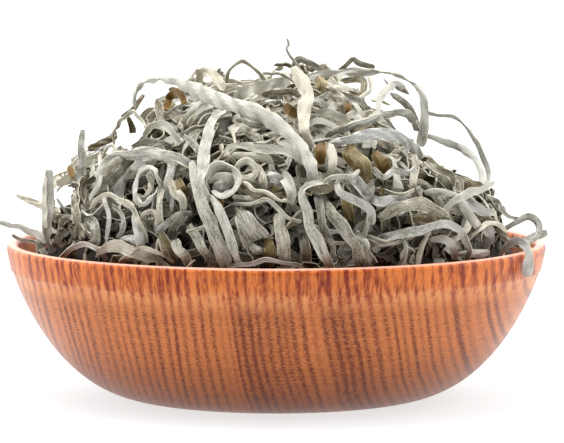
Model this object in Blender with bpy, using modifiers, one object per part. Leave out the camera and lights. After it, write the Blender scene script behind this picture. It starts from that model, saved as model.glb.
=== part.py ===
"""Turned wooden bowl holding a loose heap of dried kelp strips.

Metres, +Z up. The origin is the centre of the bowl's flat foot, on the surface it stands on.
Two solids: the bowl, and the heap, which is one body out to its uneven outline.
"""
from math import atan2, cos, exp, hypot, pi, radians, sin, sqrt
from random import Random

import bmesh
import bpy
from mathutils import Quaternion, Vector, noise

MM = 0.001

# Bowl
FOOT_RADIUS = 58 * MM
BODY_RADIUS = 117.8 * MM         # where the body meets the lip
BODY_HEIGHT = 57 * MM
BODY_START = radians(30)         # where on its upright ellipse the body's outer curve leaves the lip
BODY_STATIONS = 9
LIP_STEP = 0.7 * MM              # how far the lip stands out over the body
RIM_HEIGHT = 69.4 * MM
RIM_RADIUS = 120.4 * MM          # outermost, near the top of the lip
WALL = 5.2 * MM
RIM_STATIONS = 5
BOWL_STEPS = 48

# Heap
REST_GAP = 0.3 * MM              # between the heap and the bowl's inner face
CORE_STEPS = 24
CORE_STATIONS = 9
FILL_HEIGHT = 64 * MM            # the packed heap meets the bowl's wall here, just under the rim
DOME_RADIUS = 104 * MM
DOME_HEIGHT = 69 * MM            # above the rim
DOME_FULLNESS = 2.1
# Sunk places under the side loops: direction round and up, half widths round and up, and depth
SUNK_PLACES = ((0, radians(29), radians(42), radians(12), 20 * MM),
               (radians(185), radians(34), radians(38), radians(9), 12 * MM))
LUMP_HEIGHT = 9 * MM
LUMP_SIZE = 42 * MM
FINE_LUMP_SHARE = 0.5            # height and size of the fine lumps over those of the coarse ones
FIRST_DOME_RING = 0.3            # of a station's step above the rim's plane
STRIP_THICKNESS = 1.3 * MM
STRIP_WIDTH = 6 * MM
STRIP_WIDTH_SPREAD = (0.8, 1.3)
STRIP_TWIST = 0.5                # radians, the most that a strip turns about its own run
STRIP_SINK = 6 * MM              # how deep a strip's ends run into the core
NAMED_STATIONS = 2               # between each pair of a named strip's points
FILL_STRIPS = 35
FILL_STATIONS = 7
FILL_SPAN = (32, 58)              # degrees of the dome that a strip runs over
FILL_BOW = (13 * MM, 20 * MM)    # how far its middle stands off its buried ends
FILL_SWAY = 0.3                  # how far its middle swings sideways, as a share of the dome
LOWEST_FILL = 0.06               # height of a filling strip's start, as the sine of its elevation
HIGHEST_FILL = 0.97
GOLDEN_ANGLE = radians(137.5)
SEED = 17

# Strips that give the heap its outline. Each is a width and the points that it runs through, in
# millimetres, as (sideways, depth, height above the floor).
CREST_STRIPS = {
    "long_crossing": (7, [(-56, -44, 114), (-62, -24, 130), (-52, -8, 144), (-36, -10, 143),
                          (-19, -28, 140), (-2, -50, 132), (10, -74, 118), (18, -90, 100),
                          (18, -92, 82)]),
    "right_crest": (6, [(16, -20, 130), (27, -14, 143), (44, -8, 148), (58, -8, 143), (67, -18, 131),
                        (60, -34, 114)]),
    "right_inner_loop": (5, [(40, -30, 122), (45, -22, 136), (52, -20, 141), (60, -24, 132),
                             (58, -36, 114)]),
    "right_outer_loop": (5, [(52, -4, 104), (66, -4, 125), (76, -6, 128), (88, -6, 119), (95, -10, 106),
                             (92, -20, 92), (82, -26, 80)]),
    "right_second_loop": (5, [(52, -24, 100), (66, -28, 117), (77, -26, 119), (89, -20, 110),
                              (94, -26, 96), (82, -36, 82)]),
    "right_rim_loop": (5, [(86, -32, 74), (100, -24, 78), (109, -20, 82), (114, -19, 80), (113, -24, 75),
                           (100, -34, 70)]),
    "top_arch": (5, [(-24, -6, 134), (-21, -6, 146), (-15, -6, 151), (-8, -8, 148), (-4, -14, 134)]),
    "top_tip": (4, [(13, -14, 132), (11, -8, 145), (6, -4, 153), (5, -3, 161)]),
    "left_edge": (6, [(-101, -22, 104), (-100, -24, 93), (-101, -28, 84), (-100, -30, 74), (-94, -28, 66)]),
    "left_shoulder": (6, [(-86, -12, 121), (-86, -16, 112), (-87, -20, 101), (-86, -25, 88), (-80, -28, 78)]),
    "left_spur": (5, [(-86, -20, 82), (-100, -16, 89), (-109, -12, 91), (-116, -10, 92)]),
    "left_reach": (5, [(-88, -34, 74), (-102, -30, 77), (-110, -24, 78), (-116, -18, 80)]),
}

# Strips that lie along the front of the dome, as (sideways, height above the floor, lift off the dome).
FRONT_STRIPS = {
    "left_fall": (6, [(-18, 134, -6), (-28, 122, 4), (-33, 107, 5), (-33, 92, 6), (-26, 78, 4),
                      (-22, 72, -6)]),
    "middle_hook": (5, [(-14, 108, -6), (-22, 112, 5), (-20, 119, 6), (-6, 119, 6), (8, 115, 6),
                        (20, 106, 3), (28, 100, -6)]),
    "front_arch": (7, [(24, 74, -6), (16, 85, 4), (12, 97, 6), (20, 106, 8), (33, 104, 6), (38, 92, -6)]),
    "front_fall": (6, [(15, 102, -6), (25, 92, 4), (33, 81, 4), (37, 72, -6)]),
    "right_shelf": (7, [(38, 74, -6), (54, 81, 4), (68, 85, 5), (80, 82, 3), (84, 74, -6)]),
    "right_brow": (6, [(10, 116, -6), (24, 124, 4), (38, 127, 6), (52, 124, 4), (60, 112, -6)]),
    "left_sweep": (6, [(-76, 100, -6), (-64, 112, 4), (-48, 113, 5), (-38, 102, -6)]),
    "left_low": (6, [(-90, 74, -6), (-82, 80, 3), (-70, 80, 4), (-60, 72, -6)]),
    "right_tail": (5, [(86, 98, -6), (80, 92, 5), (82, 82, 4), (88, 76, -6)]),
}


def clear_scene():
    for item in list(bpy.data.objects):
        bpy.data.objects.remove(item, do_unlink=True)


def new_collection(name):
    collection = bpy.data.collections.new(name)
    bpy.context.scene.collection.children.link(collection)
    return collection


def new_material(name, color, roughness):
    material = bpy.data.materials.new(name)
    material.use_nodes = True
    shader = material.node_tree.nodes["Principled BSDF"]
    shader.inputs["Base Color"].default_value = (*color, 1)
    shader.inputs["Roughness"].default_value = roughness
    shader.inputs["Metallic"].default_value = 0
    return material


def add_object(name, bm, collection, material):
    mesh = bpy.data.meshes.new(name)
    bm.to_mesh(mesh)
    bm.free()
    mesh.materials.append(material)
    item = bpy.data.objects.new(name, mesh)
    collection.objects.link(item)
    return item


def body_point(angle, inset):
    """Radius and height on the body's outer curve, moved inward along its normal by inset.

    BODY_START is the widest place, under the lip, and a quarter turn is the edge of the foot.
    """
    reach = (BODY_RADIUS - FOOT_RADIUS) / cos(BODY_START)
    depth = BODY_HEIGHT / (1 - sin(BODY_START))
    slope = Vector((cos(angle) / reach, -sin(angle) / depth))
    slope.normalize()
    return (FOOT_RADIUS + reach * cos(angle) - inset * slope.x, depth * (1 - sin(angle)) - inset * slope.y)


def body_curve(inset):
    """The body's curve from under the lip down to the foot."""
    step = (pi / 2 - BODY_START) / BODY_STATIONS
    return [body_point(BODY_START + step * i, inset) for i in range(BODY_STATIONS + 1)]


def rim_curve():
    """The rounded top of the wall, from the outer side over to the inner side."""
    half = WALL / 2
    turn = [pi * i / (RIM_STATIONS - 1) for i in range(RIM_STATIONS)]
    return [(RIM_RADIUS - half + half * cos(a), RIM_HEIGHT - half + half * sin(a)) for a in turn]


def bowl_profile():
    """Closed half section, from the inside's centre over the rim and down the outer side to the foot."""
    inner = body_curve(WALL)
    lip_foot = (BODY_RADIUS + LIP_STEP, BODY_HEIGHT + LIP_STEP)
    inside = [(0, WALL)] + inner[::-1]
    over = rim_curve()[::-1]
    outside = [lip_foot] + body_curve(0)
    return inside + over + outside + [(0, 0)]


def build_bowl(collection, material):
    """A profile at +X, turned once about the upright axis."""
    bm = bmesh.new()
    corners = [bm.verts.new((radius, 0, height)) for radius, height in bowl_profile()]
    for first, second in zip(corners, corners[1:]):
        bm.edges.new((first, second))
    bowl = add_object("bowl", bm, collection, material)
    turn = bowl.modifiers.new("turn", "SCREW")
    turn.steps = BOWL_STEPS
    turn.render_steps = BOWL_STEPS
    turn.use_merge_vertices = True
    turn.merge_threshold = 0.00005
    turn.use_smooth_shade = True
    return bowl


def dome_point(direction, lift):
    """Where a ray from the middle of the rim's plane leaves the dome, moved out by lift."""
    across = sqrt(direction.x ** 2 + direction.y ** 2) / DOME_RADIUS
    upward = max(direction.z, 0) / DOME_HEIGHT
    size = (across ** DOME_FULLNESS + upward ** DOME_FULLNESS) ** (1 / DOME_FULLNESS)
    surface = direction / size
    return surface + dome_normal(surface) * (lift - sag(direction)) + Vector((0, 0, RIM_HEIGHT))


def sag(direction):
    """How far the heap lies under the plain dome in this direction."""
    round_angle = atan2(direction.y, direction.x)
    up_angle = atan2(direction.z, hypot(direction.x, direction.y))
    total = 0
    for aside, rise, half_round, half_up, depth in SUNK_PLACES:
        gap = (round_angle - aside + pi) % (2 * pi) - pi
        total += depth * exp(-(gap / half_round) ** 4 - ((up_angle - rise) / half_up) ** 2)
    return total


def dome_normal(surface):
    """Outward direction at a point on the dome, given from the middle of the rim's plane."""
    power = DOME_FULLNESS - 1
    radius = sqrt(surface.x ** 2 + surface.y ** 2)
    outward = (radius / DOME_RADIUS) ** power / DOME_RADIUS
    upward = (max(surface.z, 0) / DOME_HEIGHT) ** power / DOME_HEIGHT
    azimuth = atan2(surface.y, surface.x)
    return Vector((outward * cos(azimuth), outward * sin(azimuth), upward)).normalized()


def lump(point):
    """Uneven height of the packed heap under the loose strips."""
    coarse = noise.noise(point / LUMP_SIZE)
    fine = noise.noise(point / (LUMP_SIZE * FINE_LUMP_SHARE))
    return LUMP_HEIGHT * (coarse + FINE_LUMP_SHARE * fine)


def packed_curve():
    """Radius and height of the heap inside the bowl, from the flat bottom up to the fill height."""
    curve = body_curve(WALL + REST_GAP)[::-1]
    wall_radius, wall_height = curve[-1]
    rim_radius, rim_height = rim_curve()[-1]
    part_way = (FILL_HEIGHT - wall_height) / (rim_height - wall_height)
    top_radius = wall_radius + part_way * (rim_radius - REST_GAP - wall_radius)
    return curve + [(top_radius, FILL_HEIGHT)]


def core_rings():
    """Rings of points, bottom to top: the bowl's inside, then the lumpy dome."""
    turns = [2 * pi * i / CORE_STEPS for i in range(CORE_STEPS)]
    rings = []
    for radius, height in packed_curve():
        rings.append([Vector((radius * cos(a), radius * sin(a), height)) for a in turns])
    for station in range(CORE_STATIONS):
        climb = (pi / 2) * (station + FIRST_DOME_RING) / CORE_STATIONS
        ring = []
        for a in turns:
            direction = Vector((cos(climb) * cos(a), cos(climb) * sin(a), sin(climb)))
            ring.append(dome_point(direction, lump(dome_point(direction, 0))))
        rings.append(ring)
    return rings


def build_core(collection, material):
    """The packed middle of the heap: round rings in the bowl, joined to uneven ones above it."""
    bm = bmesh.new()
    rings = [[bm.verts.new(point) for point in ring] for ring in core_rings()]
    for lower, upper in zip(rings, rings[1:]):
        for i in range(CORE_STEPS):
            j = (i + 1) % CORE_STEPS
            bm.faces.new((lower[i], lower[j], upper[j], upper[i]))
    bm.faces.new(rings[0][::-1])
    top = sum((vert.co for vert in rings[-1]), Vector()) / CORE_STEPS
    peak = bm.verts.new(top)
    for i in range(CORE_STEPS):
        bm.faces.new((rings[-1][i], rings[-1][(i + 1) % CORE_STEPS], peak))
    bmesh.ops.triangulate(bm, faces=bm.faces)
    return add_object("kelp_heap", bm, collection, material)


def front_point(sideways, height, lift):
    """The place on the dome's front half with this sideways and upright position, in metres."""
    rise = min(max((height - RIM_HEIGHT) / DOME_HEIGHT, 0), 1)
    radius = DOME_RADIUS * (1 - rise ** DOME_FULLNESS) ** (1 / DOME_FULLNESS)
    depth = sqrt(max(radius ** 2 - sideways ** 2, 0))
    surface = Vector((sideways, -depth, height - RIM_HEIGHT))
    return surface + dome_normal(surface) * lift + Vector((0, 0, RIM_HEIGHT))


def smooth_path(points, steps):
    """A Catmull-Rom curve through the points, with this many steps between each pair."""
    ends = [2 * points[0] - points[1]] + points + [2 * points[-1] - points[-2]]
    path = []
    for a, b, c, d in zip(ends, ends[1:], ends[2:], ends[3:]):
        for step in range(steps):
            t = step / steps
            path.append(0.5 * (2 * b + (c - a) * t + (2 * a - 5 * b + 4 * c - d) * t ** 2
                               + (3 * b - 3 * c + d - a) * t ** 3))
    return path + [points[-1]]


def strip_surface(bm, path, width, twist):
    """An open ribbon along the path, lying along the dome and turned about its run by twist."""
    rails = []
    for i, point in enumerate(path):
        run = (path[min(i + 1, len(path) - 1)] - path[max(i - 1, 0)]).normalized()
        outward = dome_normal(point - Vector((0, 0, RIM_HEIGHT)))
        side = run.cross(outward).normalized()
        face = side.cross(run)
        angle = twist * sin(2 * pi * i / len(path))
        half = (side * cos(angle) + face * sin(angle)) * width / 2
        rails.append((bm.verts.new(point - half), bm.verts.new(point + half)))
    for (left, right), (next_left, next_right) in zip(rails, rails[1:]):
        bm.faces.new((left, right, next_right))
        bm.faces.new((left, next_right, next_left))


def named_paths():
    """The strips listed by name, each as a smooth path and its width."""
    for width, points in CREST_STRIPS.values():
        route = [Vector(point) * MM for point in points]
        yield smooth_path(route, NAMED_STATIONS), width * MM
    for width, points in FRONT_STRIPS.values():
        route = [front_point(*(value * MM for value in point)) for point in points]
        yield smooth_path(route, NAMED_STATIONS), width * MM


def fill_paths():
    """Strips spread evenly over the dome: arcs that leave the core, bow out and go back in."""
    chance = Random(SEED)
    for i in range(FILL_STRIPS):
        azimuth = GOLDEN_ANGLE * i
        rise = LOWEST_FILL + (HIGHEST_FILL - LOWEST_FILL) * (i + 0.5) / FILL_STRIPS
        level = sqrt(1 - rise ** 2)
        start = Vector((level * cos(azimuth), level * sin(azimuth), rise))
        heading = start.orthogonal().normalized()
        heading.rotate(Quaternion(start, chance.uniform(0, 2 * pi)))
        across = start.cross(heading) * chance.uniform(-FILL_SWAY, FILL_SWAY)
        span = radians(chance.uniform(*FILL_SPAN))
        if start.z * cos(span) + heading.z * sin(span) < LOWEST_FILL:
            heading.negate()
        bow = chance.uniform(*FILL_BOW)
        path = []
        for station in range(FILL_STATIONS):
            t = station / (FILL_STATIONS - 1)
            direction = start * cos(span * t) + heading * sin(span * t) + across * sin(pi * t)
            direction.z = max(direction.z, 0)
            path.append(dome_point(direction.normalized(), bow * sin(pi * t) - STRIP_SINK))
        yield path, STRIP_WIDTH * chance.uniform(*STRIP_WIDTH_SPREAD)


def build_strips(collection, material):
    """The loose strips, each an open ribbon with thickness, kept as guides for the union."""
    chance = Random(SEED + 1)
    for path, width in [*named_paths(), *fill_paths()]:
        bm = bmesh.new()
        strip_surface(bm, path, width, chance.uniform(-STRIP_TWIST, STRIP_TWIST))
        strip = add_object("loose_strip", bm, collection, material)
        thicken = strip.modifiers.new("thicken", "SOLIDIFY")
        thicken.thickness = STRIP_THICKNESS
        thicken.offset = 0
        strip.modifiers.new("flat_facets", "TRIANGULATE")
        strip.hide_render = True
        strip.display_type = "WIRE"


def join_strips(heap, strips):
    join = heap.modifiers.new("join_strips", "BOOLEAN")
    join.operation = "UNION"
    join.operand_type = "COLLECTION"
    join.collection = strips


def main():
    clear_scene()
    part = new_collection("kelp_bowl")
    guides = new_collection("guides")
    wood = new_material("varnished_wood", (0.43, 0.14, 0.06), 0.3)
    kelp = new_material("dried_kelp", (0.24, 0.22, 0.17), 0.75)
    build_bowl(part, wood)
    build_strips(guides, kelp)
    join_strips(build_core(part, kelp), guides)


main()
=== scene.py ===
"""Looks of the dried kelp strips heaped in a turned wooden bowl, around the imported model."""
from math import cos, pi, radians, sin

import bpy
import numpy as np
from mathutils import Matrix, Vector


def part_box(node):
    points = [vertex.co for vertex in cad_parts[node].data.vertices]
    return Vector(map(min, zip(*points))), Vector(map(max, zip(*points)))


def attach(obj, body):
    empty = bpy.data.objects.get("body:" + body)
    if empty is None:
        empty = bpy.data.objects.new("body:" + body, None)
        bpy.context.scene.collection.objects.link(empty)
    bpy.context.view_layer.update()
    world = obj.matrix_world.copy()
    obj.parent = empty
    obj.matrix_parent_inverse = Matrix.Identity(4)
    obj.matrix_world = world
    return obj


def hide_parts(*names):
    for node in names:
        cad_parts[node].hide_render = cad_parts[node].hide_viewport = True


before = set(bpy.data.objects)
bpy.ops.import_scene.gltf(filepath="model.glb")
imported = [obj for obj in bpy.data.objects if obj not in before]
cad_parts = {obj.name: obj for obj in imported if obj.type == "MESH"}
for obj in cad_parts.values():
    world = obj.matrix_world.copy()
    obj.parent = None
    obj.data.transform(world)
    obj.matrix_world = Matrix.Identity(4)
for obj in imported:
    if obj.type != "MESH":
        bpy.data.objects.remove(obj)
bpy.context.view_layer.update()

MM = 0.001
RNG = np.random.default_rng(7)

# Bowl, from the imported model, with the turner's own sizes
RIM_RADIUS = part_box("bowl")[1][0]
RIM_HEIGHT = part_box("bowl")[1][2]
FOOT_RADIUS = 58 * MM
BODY_RADIUS = 117.8 * MM
BODY_HEIGHT = 57 * MM
BODY_START = radians(30)
LIP_STEP = 0.7 * MM
WALL = 5.2 * MM
BOWL_STEPS = 160
RING_TILT = (1, -0.12, 0.08)     # square to the sheets of wood grain
RING_SPACING = 3.9 * MM

# Heap
DOME_RADIUS = 104 * MM
DOME_HEIGHT = 69 * MM
DOME_FULLNESS = 2.1
# Sunk places under the side loops: direction round and up, half widths round and up, and depth
SUNK_PLACES = ((0, radians(29), radians(42), radians(12), 20 * MM),
               (radians(185), radians(34), radians(38), radians(9), 12 * MM))
CORE_DEPTH = 11 * MM             # how far the dark core stays under the dome
STEP = 2.4 * MM                  # between a loose strip's points
NAMED_STEP = 1.2 * MM
# Painted shade: deep strips under this height get the darker shaded copy of the kelp
SHADE_HEIGHT = 100 * MM          # deep strips under this height are darker, with little bloom
GOLDEN_ANGLE = radians(137.5)
THICKNESS = 0.5 * MM
LOOSE_SECTION = (-1, -0.45, 0.45, 1)
NAMED_SECTION = (-1, -0.65, -0.22, 0.22, 0.65, 1)
FREE_LIFT = 3                    # a shown strip further off the dome than this has its ends tucked in by
TUCK = 5 * MM
DEPTH_SLOPE = 1.2

# Viewer
AIM = np.array([2.6 * MM, 0, RIM_HEIGHT + 8.8 * MM])
EYE = AIM + 2.0 * np.array([0, -cos(radians(5.4)), sin(radians(5.4))])
FIELD = 252.1 * MM               # width of the view at the aim

# Strips that lie where they show best. Each is its width, the turn of its face away from the viewer in degrees,
# its share of pale bloom, its lift off the dome, and its points as seen from the front: (sideways, height).
# Several widths or turns are spread evenly along it. Sizes are in millimetres.
SHOWN_STRIPS = {
    # Along the top
    "long_crossing": ((2, 2, 6, 7, 7, 7, 6), (40, 50, 5, 0, 0, 0, 5), 0.85, 8,
        [(-63, 129), (-63, 135), (-60, 140), (-52, 142), (-43, 140), (-34, 136), (-24, 132), (-12, 128),
         (0, 122), (7, 116), (13, 108), (16, 101), (17, 95)]),
    "top_arch": ((2.4, 1.5, 2), (20, 50, 20), 0.4, 0,
        [(-23, 140), (-21, 146), (-18, 149), (-15, 150), (-11, 148), (-7, 144), (-3, 139)]),
    "top_left_bit": (4.6, 5, 0.8, 3, [(-35, 140), (-33, 145), (-30, 145), (-26, 141), (-22, 138)]),
    "top_left_shade": (3, 0, 0.15, 2, [(-40, 140), (-36, 141), (-31, 139)]),
    "upper_band": (5.4, 0, 0.8, 7, [(-22, 132), (-16, 135), (-9, 138), (-1, 140), (6, 141)]),
    "upper_shade": (3.2, 0, 0, 5, [(-6, 135), (1, 136), (8, 136), (13, 133)]),
    "top_wisp": ((1, 1.2, 2), 10, 0.6, 0, [(5, 160), (6, 157), (5, 155), (8, 150), (12, 143)]),
    "top_drop": ((6, 8, 6, 5, 5, 5), 0, 0.85, 8,
        [(7, 147), (9, 144), (12, 139), (14, 134), (13, 129), (12, 124), (13, 118), (16, 112)]),
    "right_peak": (3.4, 5, 0.3, -2, [(7, 146), (10, 151), (15, 149), (20, 146), (25, 145)]),
    "right_crest": ((5, 4, 4, 1.5, 1.4, 3.4, 4.4, 6), (0, 0, 0, 35, 45, 0, 0, 0), 0.85, 3,
        [(13, 142), (21, 144), (30, 145), (39, 145), (49, 145), (56, 143), (61, 140), (65, 135), (66, 128),
         (66, 120), (64, 112)]),
    "top_right_ring": (2.6, 15, 0.1, -3, [(28, 145), (31, 148), (34, 151), (37, 149), (44, 147)]),
    "olive_ring": (3, 5, 0.05, 2, [(30, 141), (35, 142), (39, 141), (39, 137), (36, 135), (32, 136)]),
    "outer_ring": (1.8, 15, 0.5, 1, [(41, 143), (42, 140), (41, 136), (36, 133)]),
    "mauve_fold": (5, 0, 0.2, 5, [(22, 138), (26, 135), (30, 131), (32, 126)]),
    "grey_fold": (3.4, 5, 0.5, 6, [(24, 136), (31, 134), (37, 132), (40, 129)]),
    "right_inner_loop": (3, 5, 0.7, 2, [(45, 126), (46, 132), (49, 137), (53, 140), (57, 138)]),
    "right_inner_tip": ((0.8, 1.8), 0, 0.6, 2, [(48, 142), (50, 139), (52, 137)]),
    "right_inner_spur": ((4, 3, 1), 0, 0.05, 1, [(53, 139), (56, 138), (59, 135)]),
    "right_inner_leg": (3.4, 0, 0.15, 1, [(51, 136), (56, 132), (60, 128), (62, 123), (62, 119)]),
    # Left shoulder
    "left_olive": (3.8, 0, 0.05, 3, [(-84, 111), (-79, 113), (-74, 115), (-71, 118)]),
    "left_arc": (1.8, 35, 0.6, 2, [(-73, 112), (-72, 119), (-68, 125), (-63, 127), (-59, 122), (-56, 119)]),
    "left_eye": (1.5, 35, 0.7, 3, [(-78, 106), (-76, 111), (-73, 112), (-71, 109), (-70, 105)]),
    "dark_spike": (2.6, 0, 0, 0, [(-69, 125), (-64, 128), (-61, 132), (-59, 135)]),
    "dark_tab": (3.2, 0, 0, 1, [(-66, 125), (-65, 122), (-64, 118)]),
    "shoulder_stub": (3.2, 0, 0.15, 2, [(-53, 132), (-52, 128), (-52, 123)]),
    "shoulder_arch": (3, 15, 0.9, 5, [(-59, 117), (-56, 121), (-51, 122), (-47, 119), (-43, 114)]),
    "shoulder_leaf": (5, 0, 0.3, 4, [(-64, 111), (-58, 113), (-52, 113), (-47, 111)]),
    "shoulder_twig": (2.6, 10, 0.85, 5, [(-42, 123), (-38, 127), (-34, 131), (-30, 132)]),
    "shoulder_slip": (3.2, 0, 0.25, 5, [(-41, 117), (-38, 114), (-35, 110), (-33, 105)]),
    "left_sweep": (4.4, 5, 0.6, 6,
        [(-79, 93), (-78, 100), (-74, 106), (-67, 108), (-58, 109), (-49, 108), (-42, 106), (-37, 103)]),
    "left_leaf": ((4, 8, 8, 5), 0, 0.2, 4, [(-64, 106), (-70, 103), (-75, 98), (-79, 91)]),
    "left_stalk": (2, 20, 0.9, 6, [(-79, 108), (-78, 101), (-80, 94), (-83, 88)]),
    # Left flank
    "left_ring": ((3, 3, 2.2, 2.4, 2.4, 2.4), 35, 0.95, 7,
        [(-51, 94), (-53, 99), (-56, 103), (-60, 101), (-63, 95), (-63, 90), (-60, 86), (-56, 88), (-52, 93)]),
    "ring_side": (2.2, 20, 0.5, 5, [(-57, 99), (-56, 94), (-59, 89), (-62, 90)]),
    "left_low_arch": (2.2, 25, 0.8, 7,
        [(-83, 84), (-79, 89), (-74, 90), (-68, 87), (-63, 82), (-60, 76), (-58, 69)]),
    "left_low_stem": (2, 20, 0.75, 6, [(-77, 89), (-75, 82), (-75, 75), (-76, 68)]),
    "left_inner_stem": (1.8, 25, 0.5, 5, [(-73, 86), (-69, 81), (-68, 76), (-71, 71)]),
    "brown_post": ((2, 3, 4), 0, 0.1, 5, [(-90, 92), (-90, 85), (-89, 79), (-88, 73)]),
    "tan_fold": (4.4, 0, 0.3, 4, [(-84, 80), (-81, 76), (-81, 70), (-83, 66)]),
    "left_block": (4, 0, 0.9, 6, [(-63, 82), (-62, 75), (-61, 69), (-58, 64)]),
    "left_knob": (4.4, 5, 0.95, 5, [(-70, 66), (-67, 70), (-63, 70), (-60, 67)]),
    "pale_curl": (2.2, 35, 0.95, 6, [(-61, 79), (-59, 82), (-55, 83), (-53, 80), (-54, 76)]),
    "left_tuft": (3, 10, 0.75, 6, [(-51, 93), (-52, 87), (-52, 80), (-50, 74)]),
    "left_floor_arch": (2.6, 15, 0.85, 5, [(-97, 61), (-92, 66), (-86, 68), (-80, 66), (-76, 61)]),
    "left_floor_leaf": (4.8, 5, 0.9, 6, [(-80, 65), (-74, 67), (-67, 66), (-60, 63), (-53, 61)]),
    "left_floor_line": (1.8, 25, 0.9, 7, [(-70, 60), (-66, 63), (-60, 66), (-52, 64), (-46, 60)]),
    "olive_leaf": (5.6, 0, 0.05, 6, [(-52, 73), (-50, 69), (-48, 65), (-46, 60)]),
    "pale_leaf": (4.6, 0, 0.95, 6, [(-45, 70), (-44, 66), (-41, 63), (-39, 58)]),
    "flank_bar": (3.2, 5, 0.4, 6, [(-54, 74), (-49, 77), (-44, 81), (-38, 82)]),
    "flank_slip": (4, 0, 0.75, 6, [(-48, 97), (-45, 92), (-42, 87), (-41, 81)]),
    "flank_back": (3.6, 5, 0.6, 4, [(-48, 106), (-47, 100), (-49, 94), (-48, 87)]),
    "cream_line": (1.8, 20, 0.8, 6, [(-40, 73), (-36, 75), (-30, 76), (-26, 75)]),
    # Falls in front, and the rolled curls between them
    "left_fall": ((2.8, 4.8, 5, 4.8, 4.4, 4), (15, 0, 0, 0, 5, 10), 0.95, 9,
        [(-23, 128), (-28, 124), (-31, 116), (-32, 108), (-33, 100), (-33, 94), (-29, 88)]),
    "wide_fall": ((3, 5, 6, 6, 6, 7), 0, 0.75, 8,
        [(-38, 105), (-36, 98), (-34, 90), (-32, 83), (-29, 76), (-26, 68), (-22, 58)]),
    "slim_fall": (3.8, 5, 0.85, 10, [(-29, 90), (-26, 84), (-23, 78), (-21, 71), (-19, 65), (-16, 58)]),
    "low_fall": (4.4, 0, 0.5, 5, [(-39, 76), (-35, 70), (-32, 65), (-28, 58)]),
    "rolled_curl": (3.4, 45, 0.9, 8,
        [(-30, 92), (-31, 97), (-29, 102), (-24, 104), (-19, 102), (-17, 97), (-19, 92), (-24, 90), (-28, 92)]),
    "curl_top": (3.6, 10, 0.85, 6, [(-29, 100), (-24, 102), (-19, 100)]),
    "curl_inside": (4.4, 10, 0.95, 6, [(-29, 96), (-25, 98), (-21, 98), (-18, 96)]),
    "curl_floor": (4, 10, 0.85, 5, [(-28, 93), (-24, 94), (-21, 93)]),
    "knot_ring": (3.2, 35, 0.9, 7,
        [(-17, 99), (-17, 103), (-13, 105), (-10, 103), (-10, 100), (-13, 98), (-17, 99)]),
    "knot_tail": (3.6, 10, 0.7, 6, [(-11, 104), (-7, 100), (-6, 95), (-8, 91)]),
    "hook": ((3.4, 3.8, 3.8, 2.8, 2.6, 2.4), (0, 0, 0, 20, 30, 30), 0.7, 8,
        [(13, 104), (8, 108), (1, 110), (-8, 111), (-16, 112), (-21, 111), (-22, 108), (-18, 105)]),
    "hook_inside": (4, 5, 0.9, 6, [(-19, 108), (-13, 107), (-6, 107), (-2, 104)]),
    "hook_shade": (3, 5, 0.2, 6, [(-18, 124), (-11, 122), (-4, 120)]),
    "shadow_line": (1.4, 20, 0.95, 3, [(-20, 120), (-19, 116), (-18, 112)]),
    "grey_wedge": (5, 0, 0.65, 6, [(-7, 98), (-1, 98), (4, 95)]),
    "crumpled_leaf": (5, 0, 0.9, 7, [(2, 99), (5, 96), (7, 91), (6, 86)]),
    "middle_thread": (1.8, 25, 0.95, 9, [(-17, 97), (-11, 93), (-5, 91), (1, 88), (6, 87)]),
    "thread_shade": (3.6, 0, 0.15, 7, [(-16, 95), (-11, 91), (-4, 89), (3, 90)]),
    "green_slip": (3.6, 0, 0.7, 6, [(-19, 89), (-13, 88), (-8, 88), (-3, 90)]),
    "middle_line": (1.8, 30, 0.75, 8, [(-19, 86), (-12, 86), (-5, 88), (0, 85), (5, 80), (11, 78)]),
    "torn_piece": ((1.6, 6, 10, 15), 0, 0.6, 7, [(-18, 84), (-15, 80), (-12, 75), (-9, 70)]),
    "middle_drop": ((6, 6, 6, 8), 0, 0.65, 7, [(1, 82), (2, 75), (3, 68), (4, 58)]),
    "middle_chip": (3.6, 10, 0.95, 5, [(-12, 68), (-9, 66), (-6, 64)]),
    "front_arch": ((3, 2.8, 4, 4.4, 5, 6), (10, 15, 0, 0, 0, 0), 0.9, 9,
        [(23, 96), (16, 95), (12, 92), (12, 88), (14, 82), (15, 76), (18, 70), (21, 64), (25, 57)]),
    "front_arch_top": (2.2, 20, 0.95, 10, [(21, 95), (25, 98), (30, 98), (34, 98), (37, 101)]),
    "front_slope": (4.4, 0, 0.7, 7, [(33, 100), (37, 95), (40, 91), (44, 87)]),
    "front_link": (3.6, 5, 0.95, 10, [(27, 96), (28, 92), (33, 89), (38, 86), (42, 83), (43, 77)]),
    "arch_shade": (4.4, 0, 0.1, 6, [(15, 92), (20, 93), (26, 94)]),
    "grey_column": (4, 0, 0.25, 6, [(18, 90), (20, 83), (21, 76), (23, 70)]),
    "front_fall": ((5, 5, 5, 7), 0, 0.45, 8, [(22, 86), (27, 79), (32, 73), (36, 66), (38, 58)]),
    "front_post": (4.2, 0, 0.65, 6, [(35, 73), (38, 70), (40, 64), (40, 57)]),
    "post_line": (2.2, 10, 0.9, 7, [(42, 83), (41, 77), (39, 71)]),
    "shaded_post": (4.4, 0, 0.1, 4, [(12, 72), (13, 66), (14, 58)]),
    "low_twig": (2, 20, 0.4, 5, [(20, 73), (25, 69), (31, 68)]),
    "rim_line": (1.8, 15, 0.95, 8, [(-22, 58), (-13, 59), (-5, 61), (3, 60), (12, 58)]),
    # Right shoulder and flank
    "right_brow": (3.6, 10, 0.25, 7, [(22, 116), (30, 120), (38, 122), (46, 125), (54, 127), (60, 125), (63, 119)]),
    "brow_line": (1.7, 20, 0.95, 9, [(27, 119), (34, 122), (41, 124), (47, 127)]),
    "right_band": (5.2, 0, 0.9, 8, [(25, 113), (33, 115), (41, 117), (50, 117), (58, 114), (65, 107)]),
    "shoulder_net": (3, 10, 0.8, 6, [(16, 128), (23, 127), (30, 125), (36, 127)]),
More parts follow.
